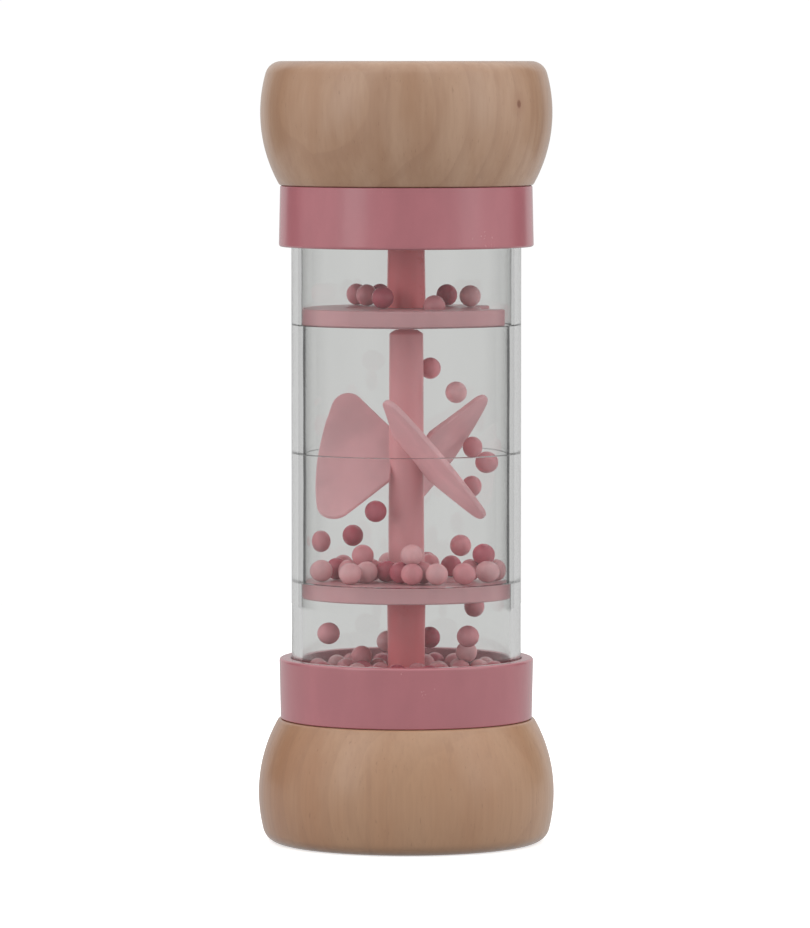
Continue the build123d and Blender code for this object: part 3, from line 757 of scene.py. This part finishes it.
# ------------------------------------------------------------------ studio
def stage_material(name):
    """Pale paper: white to the camera, level with the backdrop through clear plastic and in gloss, and quiet as bounced light."""
    w = Mat(name)
    n = w.noise(w.scaled((30, 30, 30)), 1.0, 3.0, 0.5)
    p = w.principled(Roughness=0.75, Specular_IOR_Level=0.2, Emission_Strength=0.62)
    w.link(w.mix(n, (0.86, 0.86, 0.86, 1), (0.88, 0.88, 0.88, 1)), p.inputs["Base Color"])
    p.inputs["Emission Color"].default_value = (1, 1, 1, 1)
    through = w.node("ShaderNodeEmission")
    w.link(w.mix(n, (0.60, 0.60, 0.60, 1), (0.62, 0.62, 0.62, 1)), through.inputs["Color"])
    q = w.principled(Roughness=0.8, Specular_IOR_Level=0.1)
    w.link(w.mix(n, (0.34, 0.33, 0.32, 1), (0.36, 0.35, 0.34, 1)), q.inputs["Base Color"])
    path = w.node("ShaderNodeLightPath")
    inner = w.node("ShaderNodeMixShader")
    w.link(w.math("MAXIMUM", path.outputs["Is Transmission Ray"], path.outputs["Is Glossy Ray"]), inner.inputs[0])
    w.link(q.outputs[0], inner.inputs[1])
    w.link(through.outputs[0], inner.inputs[2])
    mixer = w.node("ShaderNodeMixShader")
    w.link(path.outputs["Is Camera Ray"], mixer.inputs[0])
    w.link(inner.outputs[0], mixer.inputs[1])
    w.link(p.outputs[0], mixer.inputs[2])
    w.link(mixer.outputs[0], w.out.inputs["Surface"])
    return w.m


bm = bmesh.new()
ring_n = 96
inner = bm.verts.new((0, 0, 0))
prev = None
for rr in (0.05, 0.15, 0.3, 0.55):
    cur = [bm.verts.new((rr * math.cos(2 * math.pi * k / ring_n), rr * math.sin(2 * math.pi * k / ring_n), 0)) for k in range(ring_n)]
    for k in range(ring_n):
        k2 = (k + 1) % ring_n
        if prev is None:
            bm.faces.new((inner, cur[k], cur[k2]))
        else:
            bm.faces.new((prev[k], cur[k], cur[k2], prev[k2]))
    prev = cur
floor = new_piece("pale_floor", bm)
floor.location.z = -0.00005
floor.data.materials.append(stage_material("pale_floor"))


def softbox(name, az, elev, dist, w, h, power):
    data = bpy.data.lights.new(name, "AREA")
    data.shape = "RECTANGLE"
    data.size = w
    data.size_y = h
    data.energy = power
    ob = bpy.data.objects.new(name, data)
    scene.collection.objects.link(ob)
    a, e = math.radians(az), math.radians(elev)
    d = Vector((math.sin(a) * math.cos(e), -math.cos(a) * math.cos(e), math.sin(e)))
    ob.location = Vector((0, 0, 0.075)) + d * dist
    ob.rotation_euler = (-d).to_track_quat("-Z", "Y").to_euler()
    return ob


softbox("softbox_left", -47, 22, 0.95, 0.38, 0.74, 0.68)
softbox("softbox_right", 60, 22, 0.95, 0.38, 0.74, 0.36)
# the fills are too large and soft to show as shapes in the gloss, and leave the clear rings alone
beside = bpy.data.collections.new("not_lit_by_fills")
for piece in CLEAR_RINGS:
    beside.objects.link(piece)
for held in beside.collection_objects:
    held.light_linking.link_state = "EXCLUDE"
for fill in (
    softbox("fill_left", -68, 14, 1.1, 0.9, 0.9, 4.8),
    softbox("fill_right", 74, 14, 1.1, 0.9, 0.9, 5.3),
):
    fill.visible_glossy = False
    fill.visible_camera = False
    fill.light_linking.receiver_collection = beside

world = bpy.data.worlds.new("studio")
scene.world = world
world.use_nodes = True
wt = world.node_tree
wt.nodes.clear()
wout = wt.nodes.new("ShaderNodeOutputWorld")
seen = wt.nodes.new("ShaderNodeBackground")
seen.inputs[0].default_value = (1, 1, 1, 1)
seen.inputs[1].default_value = 1.02
lit = wt.nodes.new("ShaderNodeBackground")
lit.inputs[1].default_value = 1.0
tc = wt.nodes.new("ShaderNodeTexCoord")
sepw = wt.nodes.new("ShaderNodeSeparateXYZ")
wt.links.new(tc.outputs["Generated"], sepw.inputs[0])


def wmath(op, a, b=None):
    n = wt.nodes.new("ShaderNodeMath")
    n.operation = op
    for i, v in enumerate((a, b)):
        if v is None:
            continue
        if isinstance(v, (int, float)):
            n.inputs[i].default_value = v
        else:
            wt.links.new(v, n.inputs[i])
    return n.outputs[0]


# bearing of a direction from straight behind the object, 0 behind and pi in front
bearing = wmath("ARCTAN2", wmath("ABSOLUTE", sepw.outputs[0]), sepw.outputs[1])
ramp = wt.nodes.new("ShaderNodeValToRGB")
ramp.color_ramp.interpolation = "LINEAR"
stops = [(0.0, 0.62), (39.5, 0.62), (41.5, 0.10), (62, 0.12), (74, 0.52), (110, 0.52), (135, 0.60), (180, 0.46)]
els = ramp.color_ramp.elements
while len(els) < len(stops):
    els.new(0.5)
for e, (deg, v) in zip(els, stops):
    e.position = deg / 180
    e.color = (v, v, v, 1)
wt.links.new(wmath("DIVIDE", bearing, math.pi), ramp.inputs[0])
over = wt.nodes.new("ShaderNodeMapRange")
over.inputs["From Min"].default_value = 0.45
over.inputs["From Max"].default_value = 0.75
wt.links.new(sepw.outputs[2], over.inputs["Value"])
mixw = wt.nodes.new("ShaderNodeMix")
mixw.data_type = "RGBA"
wt.links.new(over.outputs[0], mixw.inputs[0])
wt.links.new(ramp.outputs[0], mixw.inputs[6])
mixw.inputs[7].default_value = (1.1, 1.1, 1.1, 1)
wt.links.new(mixw.outputs[2], lit.inputs[0])
lpw = wt.nodes.new("ShaderNodeLightPath")
mixs = wt.nodes.new("ShaderNodeMixShader")
wt.links.new(lpw.outputs["Is Camera Ray"], mixs.inputs[0])
wt.links.new(lit.outputs[0], mixs.inputs[1])
wt.links.new(seen.outputs[0], mixs.inputs[2])
wt.links.new(mixs.outputs[0], wout.inputs[0])

scene.view_settings.view_transform = "Standard"
